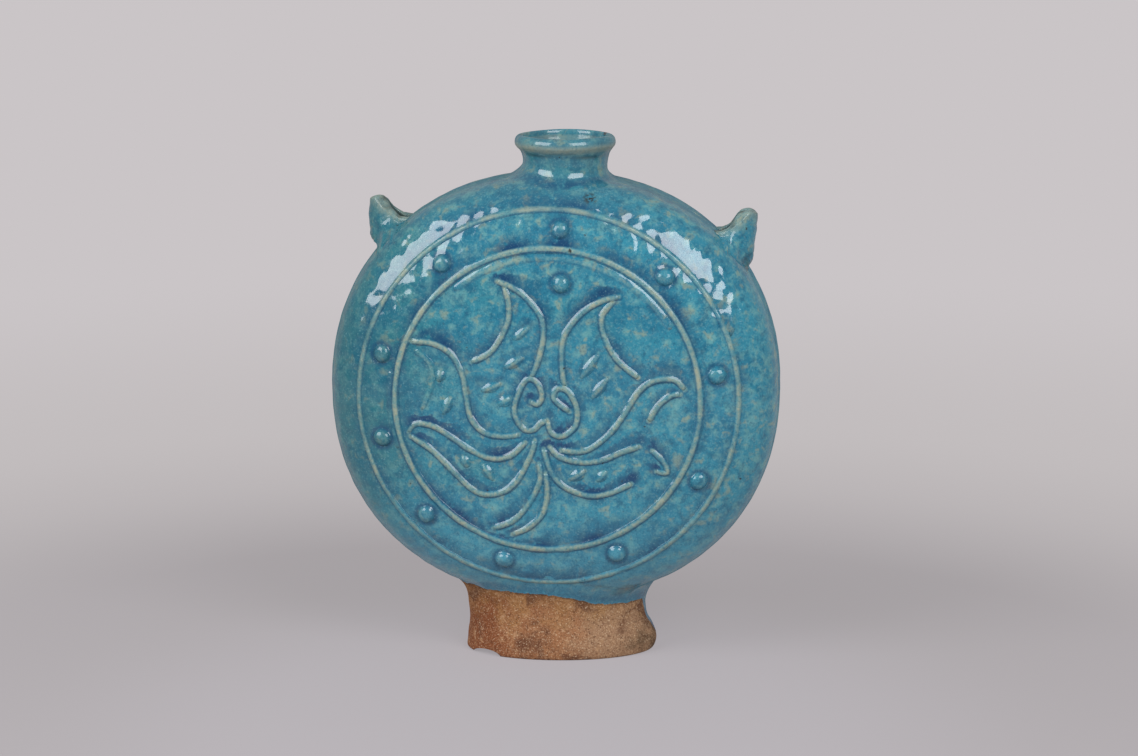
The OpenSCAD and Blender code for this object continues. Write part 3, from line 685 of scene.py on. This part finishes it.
def colour(red, green, blue):
    """A colour given as three screen values from 0 to 255, made linear for a shader."""
    share = np.array([red, green, blue]) / 255
    return (*np.where(share <= 0.04045, share / 12.92, ((share + 0.055) / 1.055) ** 2.4), 1.0)


def add(tree, kind, inputs=(), **settings):
    """A node of one kind with its settings; inputs are (socket, value or output) pairs."""
    made = tree.nodes.new(kind)
    for name, value in settings.items():
        setattr(made, name, value)
    for socket, value in inputs:
        if isinstance(value, bpy.types.NodeSocket):
            tree.links.new(value, made.inputs[socket])
        else:
            made.inputs[socket].default_value = value
    return made


def cloud(tree, place, size, detail=3.0, rough=0.55, swirl=0.0):
    """Soft noise between 0 and 1 whose patches are about size metres across, drawn out by the swirl."""
    made = add(tree, "ShaderNodeTexNoise", [("Vector", place), ("Scale", 1 / size), ("Detail", detail),
                                            ("Roughness", rough), ("Distortion", swirl)])
    return made.outputs["Fac"]


def band(tree, value, low, high):
    """0 below low, 1 above high and smooth between; low may be the larger one."""
    made = add(tree, "ShaderNodeMapRange", [("Value", value), ("From Min", low), ("From Max", high)],
               interpolation_type="SMOOTHSTEP")
    return made.outputs["Result"]


def sum_of(tree, operation, first, second):
    """Two values put together by one operation."""
    return add(tree, "ShaderNodeMath", [(0, first), (1, second)], operation=operation).outputs[0]


def blend(tree, share, first, second, blend_type="MIX"):
    """The first colour, with this share of the second."""
    made = add(tree, "ShaderNodeMix", [(0, share), (6, first), (7, second)], data_type="RGBA",
               blend_type=blend_type)
    return made.outputs[2]


def new_group(name, inputs, outputs):
    """An empty node group with named sockets."""
    group = bpy.data.node_groups.new(name, "ShaderNodeTree")
    for direction, sockets in (("INPUT", inputs), ("OUTPUT", outputs)):
        for socket, kind in sockets:
            group.interface.new_socket(socket, in_out=direction, socket_type="NodeSocket" + kind)
    return group, group.nodes.new("NodeGroupInput"), group.nodes.new("NodeGroupOutput")


glaze, given, put = new_group("turquoise glaze", [("Thin", "Float"), ("Pooled", "Float"), ("Iron", "Float")],
                              [("Color", "Color"), ("Roughness", "Float"), ("Height", "Float")])
place = add(glaze, "ShaderNodeTexCoord").outputs["Object"]
axes = add(glaze, "ShaderNodeSeparateXYZ", [(0, place)]).outputs
wide = cloud(glaze, place, 0.05)
patchy = cloud(glaze, place, 0.018, 3, 0.5, 0.3)
small = cloud(glaze, place, 0.0045, 3, 0.55, 0.3)
moved = add(glaze, "ShaderNodeVectorMath", [(0, place), (1, (0.3, 0.1, 0.2))]).outputs[0]
other = cloud(glaze, moved, 0.0055, 3, 0.55, 0.3)
fine = cloud(glaze, place, 0.0017, 3, 0.6)
grain = cloud(glaze, place, 0.0009, 2)
to_left = sum_of(glaze, "MULTIPLY_ADD", sum_of(glaze, "SUBTRACT", sum_of(glaze, "MULTIPLY", axes["Z"], 0.3), axes["X"]), 4.0)
to_left.node.inputs[2].default_value = -0.1
greener = band(glaze, sum_of(glaze, "ADD", sum_of(glaze, "MULTIPLY", wide, 1.6), to_left), 0.8, 1.5)
hue = blend(glaze, greener, colour(42, 128, 150), colour(42, 118, 130))
hue = blend(glaze, sum_of(glaze, "MULTIPLY", band(glaze, patchy, 0.58, 0.36), 0.7), hue, colour(18, 104, 132))
hue = blend(glaze, sum_of(glaze, "MULTIPLY", band(glaze, small, 0.45, 0.7), 0.6), hue, colour(106, 160, 158))
hue = blend(glaze, sum_of(glaze, "MULTIPLY", band(glaze, other, 0.5, 0.28), 0.65), hue, colour(6, 84, 112))
hue = blend(glaze, sum_of(glaze, "MULTIPLY", band(glaze, other, 0.55, 0.72), 0.6), hue, colour(142, 152, 126))
hue = blend(glaze, sum_of(glaze, "MULTIPLY", band(glaze, fine, 0.52, 0.76), 0.36), hue, colour(124, 166, 166))
hue = blend(glaze, sum_of(glaze, "MULTIPLY", band(glaze, fine, 0.48, 0.26), 0.4), hue, colour(4, 76, 110))
# Darker, greyer teal over the left end of the body.
darker_left = sum_of(glaze, "MULTIPLY", band(glaze, axes["X"], -0.04, -0.1), 0.6)
hue = blend(glaze, darker_left, hue, colour(22, 86, 96))
# Painted light: the lowest part of the body is blended towards a paler blue, as if lit from the floor below.
hue = blend(glaze, sum_of(glaze, "MULTIPLY", band(glaze, axes["Z"], 0.1, 0.03), 0.45), hue, colour(84, 152, 174))
hue = blend(glaze, sum_of(glaze, "MULTIPLY", band(glaze, axes["Z"], 0.2, 0.235), 0.35), hue, colour(60, 100, 106))
deep = sum_of(glaze, "MULTIPLY", given.outputs["Pooled"], band(glaze, small, 0.2, 0.5))
hue = blend(glaze, deep, hue, colour(0, 60, 98))
worn = sum_of(glaze, "MULTIPLY", band(glaze, given.outputs["Thin"], 0.2, 0.95), band(glaze, fine, 0.1, 0.4))
slip_hue = blend(glaze, band(glaze, fine, 0.4, 0.62), colour(104, 140, 140), colour(138, 154, 140))
slip_hue = blend(glaze, sum_of(glaze, "MULTIPLY", band(glaze, small, 0.5, 0.66), 0.6), slip_hue, colour(160, 158, 134))
slip_hue = blend(glaze, sum_of(glaze, "MULTIPLY", band(glaze, axes["Z"], 0.198, 0.222), 0.6), slip_hue, colour(138, 142, 128))
hue = blend(glaze, sum_of(glaze, "MULTIPLY", worn, 0.9), hue, slip_hue)
hue = blend(glaze, sum_of(glaze, "MULTIPLY", band(glaze, grain, 0.54, 0.78), 0.55), hue, colour(8, 70, 96))
hue = blend(glaze, sum_of(glaze, "MULTIPLY", band(glaze, grain, 0.44, 0.24), 0.36), hue, colour(120, 164, 168))
SPOTS = [((9.7, -37, 199), 1.1), ((34.2, -39.5, 91.2), 0.9), ((23.2, 10, 248.4), 2.6), ((14.1, -17.2, 249.6), 0.9),
         ((-3, -23, 247), 0.7), ((3.2, -20, 242.5), 1.0), ((3.4, -20, 240.2), 0.8), ((90, -8, 206.1), 1.1),
         ((-30, -20, 219), 0.9), ((52, -18, 214), 0.8), ((60.5, -38, 172.4), 0.8), ((62.8, -37.5, 173.6), 0.8)]
speckled = ((18.3, -28, 223.2), 4.6)
iron = given.outputs["Iron"]
ragged_place = add(glaze, "ShaderNodeTexNoise", [("Vector", place), ("Scale", 700.0)]).outputs["Color"]
ragged_place = add(glaze, "ShaderNodeVectorMath", [(0, ragged_place), (1, (0.0016,) * 3), (2, place)],
                   operation="MULTIPLY_ADD").outputs["Vector"]
for centre, size in SPOTS + [speckled]:
    middle = tuple((np.array(centre) + 0.8) * mm)
    from_spot = add(glaze, "ShaderNodeVectorMath", [(0, ragged_place), (1, middle)], operation="DISTANCE").outputs["Value"]
    spot = band(glaze, from_spot, size * mm, 0.5 * size * mm)
    if (centre, size) == speckled:
        spot = sum_of(glaze, "MULTIPLY", band(glaze, from_spot, size * mm, 0.4 * size * mm), band(glaze, fine, 0.44, 0.53))
    iron = sum_of(glaze, "MAXIMUM", iron, spot)
pits = add(glaze, "ShaderNodeTexVoronoi", [("Vector", ragged_place), ("Scale", 110.0)]).outputs
chosen = band(glaze, add(glaze, "ShaderNodeSeparateColor", [(0, pits["Color"])]).outputs[0], 0.76, 0.78)
iron = sum_of(glaze, "MAXIMUM", iron, sum_of(glaze, "MULTIPLY", band(glaze, pits["Distance"], 0.065, 0.03), chosen))
hue = blend(glaze, sum_of(glaze, "MULTIPLY", iron, 0.9), hue, colour(34, 29, 25))
ripples = cloud(glaze, place, 0.0032, 2, 0.5, 0.4)
bumps = sum_of(glaze, "ADD", sum_of(glaze, "MULTIPLY", ripples, 0.16), sum_of(glaze, "MULTIPLY", grain, 0.006))
dull = sum_of(glaze, "MULTIPLY_ADD", given.outputs["Thin"], 0.42)
dull.node.inputs[2].default_value = 0.07
glaze.links.new(hue, put.inputs["Color"])
glaze.links.new(dull, put.inputs["Roughness"])
glaze.links.new(bumps, put.inputs["Height"])

clay, given, put = new_group("gritty clay", [], [("Color", "Color"), ("Height", "Float")])
place = add(clay, "ShaderNodeTexCoord").outputs["Object"]
axes = add(clay, "ShaderNodeSeparateXYZ", [(0, place)]).outputs
blotch = cloud(clay, place, 0.012, 4, 0.6, 0.5)
cloudy = cloud(clay, place, 0.005, 3, 0.6)
speckle = cloud(clay, place, 0.0009, 2, 0.6)
stain = cloud(clay, place, 0.016, 3, 0.6, 0.5)
grit = cloud(clay, place, 0.0006, 1, 0.5)
drift = sum_of(clay, "MULTIPLY_ADD", blotch, 0.05)
drift.node.inputs[2].default_value = -0.025
along = sum_of(clay, "ADD", axes["X"], drift)
# Along the foot the clay is deeper orange at the left end, paler in the middle and dark grey-brown at the right end.
hue = blend(clay, band(clay, along, -0.034, -0.004), colour(126, 74, 45), colour(150, 104, 71))
hue = blend(clay, band(clay, along, 0.004, 0.024), hue, colour(154, 120, 92))
hue = blend(clay, band(clay, along, 0.036, 0.05), hue, colour(98, 76, 56))
top_share = sum_of(clay, "MULTIPLY", band(clay, sum_of(clay, "ADD", axes["Z"], drift), 0.014, 0.032), 0.6)
hue = blend(clay, top_share, hue, colour(158, 116, 70))
hue = blend(clay, sum_of(clay, "MULTIPLY", band(clay, stain, 0.5, 0.34), 0.75), hue, colour(92, 58, 42))
hue = blend(clay, sum_of(clay, "MULTIPLY", band(clay, cloudy, 0.46, 0.28), 0.55), hue, colour(96, 58, 38))
hue = blend(clay, sum_of(clay, "MULTIPLY", band(clay, cloudy, 0.56, 0.72), 0.45), hue, colour(190, 150, 112))
hue = blend(clay, sum_of(clay, "MULTIPLY", band(clay, speckle, 0.52, 0.74), 0.42), hue, colour(196, 164, 130))
hue = blend(clay, sum_of(clay, "MULTIPLY", band(clay, speckle, 0.48, 0.3), 0.55), hue, colour(86, 56, 38))
hue = blend(clay, sum_of(clay, "MULTIPLY", band(clay, grit, 0.62, 0.74), 0.6), hue, colour(214, 190, 160))
hue = blend(clay, sum_of(clay, "MULTIPLY", band(clay, grit, 0.38, 0.26), 0.7), hue, colour(58, 38, 28))
clay.links.new(hue, put.inputs["Color"])
rough_height = sum_of(clay, "ADD", sum_of(clay, "MULTIPLY", grit, 0.1), sum_of(clay, "MULTIPLY", speckle, 0.22))
clay.links.new(rough_height, put.inputs["Height"])


def fired_finish(name, pieces):
    """The material of glazed pieces: the glaze where it lies, and the gritty clay where the mark bare says."""
    material = bpy.data.materials.new(name)
    material.use_nodes = True
    tree = material.node_tree
    shader = tree.nodes["Principled BSDF"]
    marks = {m: add(tree, "ShaderNodeAttribute", attribute_name=m).outputs["Fac"] for m in MARKS}
    over = add(tree, "ShaderNodeGroup", node_tree=glaze)
    for socket in ("Thin", "Pooled", "Iron"):
        tree.links.new(marks[socket.lower()], over.inputs[socket])
    under = add(tree, "ShaderNodeGroup", node_tree=clay)
    place = add(tree, "ShaderNodeTexCoord").outputs["Object"]
    ragged = sum_of(tree, "MULTIPLY_ADD", cloud(tree, place, 0.0024, 3), 0.3)
    ragged.node.inputs[2].default_value = -0.15
    bare = band(tree, sum_of(tree, "ADD", marks["bare"], ragged), 0.47, 0.53)
    grazing = band(tree, add(tree, "ShaderNodeLayerWeight", [("Blend", 0.5)]).outputs["Facing"], 0.6, 0.93)
    dry = sum_of(tree, "MULTIPLY", marks["thin"], 0.95)
    dry = sum_of(tree, "MAXIMUM", dry, sum_of(tree, "MULTIPLY", grazing, 0.95))
    wet = sum_of(tree, "SUBTRACT", 1.0, dry)
    glazed = sum_of(tree, "MULTIPLY", sum_of(tree, "SUBTRACT", 1.0, bare), wet)
    crumbs = sum_of(tree, "MULTIPLY", band(tree, marks["bare"], 0.7, 0.53), band(tree, cloud(tree, place, 0.0009), 0.42, 0.56))
    dusty = blend(tree, sum_of(tree, "MULTIPLY", crumbs, 0.8), under.outputs["Color"], colour(58, 42, 32))
    hue = blend(tree, bare, over.outputs["Color"], dusty)
    roughness = sum_of(tree, "MAXIMUM", over.outputs["Roughness"], sum_of(tree, "MULTIPLY", grazing, 0.5))
    roughness = add(tree, "ShaderNodeMix", [(0, bare), (2, roughness), (3, 0.88)]).outputs[0]
    height = add(tree, "ShaderNodeMix", [(0, bare), (2, over.outputs["Height"]), (3, under.outputs["Height"])])
    bump = add(tree, "ShaderNodeBump", [("Height", height.outputs[0]), ("Distance", 0.001), ("Strength", 1.0)])
    tree.links.new(hue, shader.inputs["Base Color"])
    tree.links.new(roughness, shader.inputs["Roughness"])
    tree.links.new(glazed, shader.inputs["Coat Weight"])
    tree.links.new(bump.outputs["Normal"], shader.inputs["Normal"])
    shader.inputs["Coat Roughness"].default_value = 0.05
    shader.inputs["IOR"].default_value = 1.5
    shader.inputs["Specular IOR Level"].default_value = 0.2
    for piece in pieces:
        piece.data.materials.clear()
        piece.data.materials.append(material)


fired_finish("turquoise_glaze_on_clay", [front_half, back_half, luting_seam, neck_and_lip, left_lug, right_lug])
fired_finish("glaze_over_slip", [*front_ornament, *back_ornament])
fired_finish("bare_clay_foot", [foot_ring])

# The studio
# The flask stands on a plain pale floor between two soft boxes, high on the left and on the right, under
# an even pale sky. The floor's glow is painted light, with a band of painted shade close round the flask.
floor_mesh = bpy.data.meshes.new("floor")
turn = np.linspace(0, 2 * np.pi, 128, endpoint=False)
floor_mesh.from_pydata(np.stack([12 * np.cos(turn), 12 * np.sin(turn), 0 * turn], -1).tolist(), [],
                       [list(range(128))])
floor = bpy.data.objects.new("floor", floor_mesh)
bpy.context.scene.collection.objects.link(floor)
paper = bpy.data.materials.new("floor_paper")
paper.use_nodes = True
tree = paper.node_tree
shader = tree.nodes["Principled BSDF"]
shader.inputs["Roughness"].default_value = 0.9
shader.inputs["Specular IOR Level"].default_value = 0.0
place = add(tree, "ShaderNodeTexCoord").outputs["Object"]
ahead = add(tree, "ShaderNodeVectorMath", [(0, place), (1, (0, 0.12, 0))]).outputs["Vector"]
away = add(tree, "ShaderNodeVectorMath", [(0, ahead)], operation="LENGTH").outputs["Value"]
shader.inputs["Base Color"].default_value = colour(180, 175, 179)
# Painted light: the floor's glow is graded with distance, darker in a band round and behind the flask as painted
# shade, and paler further off.
painted_floor_light = blend(tree, band(tree, away, 0.11, 0.25), colour(184, 179, 183), colour(176, 171, 173))
painted_floor_light = blend(tree, band(tree, away, 0.26, 0.66), painted_floor_light, colour(193, 188, 189))
painted_floor_light = blend(tree, band(tree, away, 0.5, 1.3), painted_floor_light, colour(202, 197, 199))
far = add(tree, "ShaderNodeEmission", [("Color", painted_floor_light), ("Strength", 1.0)])
rays = add(tree, "ShaderNodeLightPath").outputs
mirrored = sum_of(tree, "MULTIPLY", rays["Is Glossy Ray"], 0.4)
seen = sum_of(tree, "MAXIMUM", sum_of(tree, "MAXIMUM", rays["Is Camera Ray"], rays["Is Transmission Ray"]), mirrored)
far_share = sum_of(tree, "MULTIPLY", sum_of(tree, "MAXIMUM", band(tree, away, 0.05, 0.5), 0.66), seen)
mixed = add(tree, "ShaderNodeMixShader", [(0, far_share), (1, shader.outputs[0]), (2, far.outputs[0])])
tree.links.new(mixed.outputs[0], tree.nodes["Material Output"].inputs["Surface"])
floor_mesh.materials.append(paper)

sky = bpy.data.worlds.new("pale_sky")
sky.use_nodes = True
tree = sky.node_tree
rays = add(tree, "ShaderNodeLightPath").outputs
mirrored = sum_of(tree, "MULTIPLY", rays["Is Glossy Ray"], 0.2)
seen = sum_of(tree, "MAXIMUM", sum_of(tree, "MAXIMUM", rays["Is Camera Ray"], rays["Is Transmission Ray"]), mirrored)
lit = tree.nodes["Background"]
lit.inputs["Color"].default_value = (1.0, 0.98, 0.985, 1.0)
lit.inputs["Strength"].default_value = 0.31
shown = add(tree, "ShaderNodeBackground", [("Color", colour(202, 197, 199)), ("Strength", 1.0)])
mixed = add(tree, "ShaderNodeMixShader", [(0, seen), (1, lit.outputs[0]), (2, shown.outputs[0])])
tree.links.new(mixed.outputs[0], tree.nodes["World Output"].inputs["Surface"])
bpy.context.scene.world = sky

aim = np.array([0.0, 0.0, 0.15])


def soft_box(name, azimuth, elevation, distance, size, watts):
    """A square studio lamp, seen from the flask at this azimuth (0 is the front) and elevation."""
    a, e = np.radians(azimuth), np.radians(elevation)
    way = np.array([np.sin(a) * np.cos(e), -np.cos(a) * np.cos(e), np.sin(e)])
    light = bpy.data.lights.new(name, "AREA")
    light.shape, light.size, light.energy = "SQUARE", size, watts
    lamp = bpy.data.objects.new(name, light)
    bpy.context.scene.collection.objects.link(lamp)
    lamp.location = aim + way * distance
    lamp.rotation_euler = (np.pi / 2 - e, 0, a)
    return lamp


soft_box("left_soft_box", -49, 29, 1.15, 0.71, 9.6)
soft_box("right_soft_box", 38, 31, 1.15, 0.66, 8.9)

# The camera
# It stands 1.4 m away, a little to the right and 11 degrees above level, with a long lens.
camera_data = bpy.data.cameras.new("camera")
camera_data.sensor_fit = "HORIZONTAL"
camera_data.sensor_width = 36.0
camera_data.lens = 93.0
camera = bpy.data.objects.new("camera", camera_data)
bpy.context.scene.collection.objects.link(camera)
view_azimuth, view_elevation, view_distance = np.radians(5.0), np.radians(11.07), 1.4
target = np.array([6.01, 0, 132.19]) * mm
camera.location = target + view_distance * np.array([
    np.sin(view_azimuth) * np.cos(view_elevation), -np.cos(view_azimuth) * np.cos(view_elevation),
    np.sin(view_elevation)])
camera.rotation_euler = (np.pi / 2 - view_elevation, 0, view_azimuth)
bpy.context.scene.camera = camera
bpy.context.scene.view_settings.view_transform = "Standard"
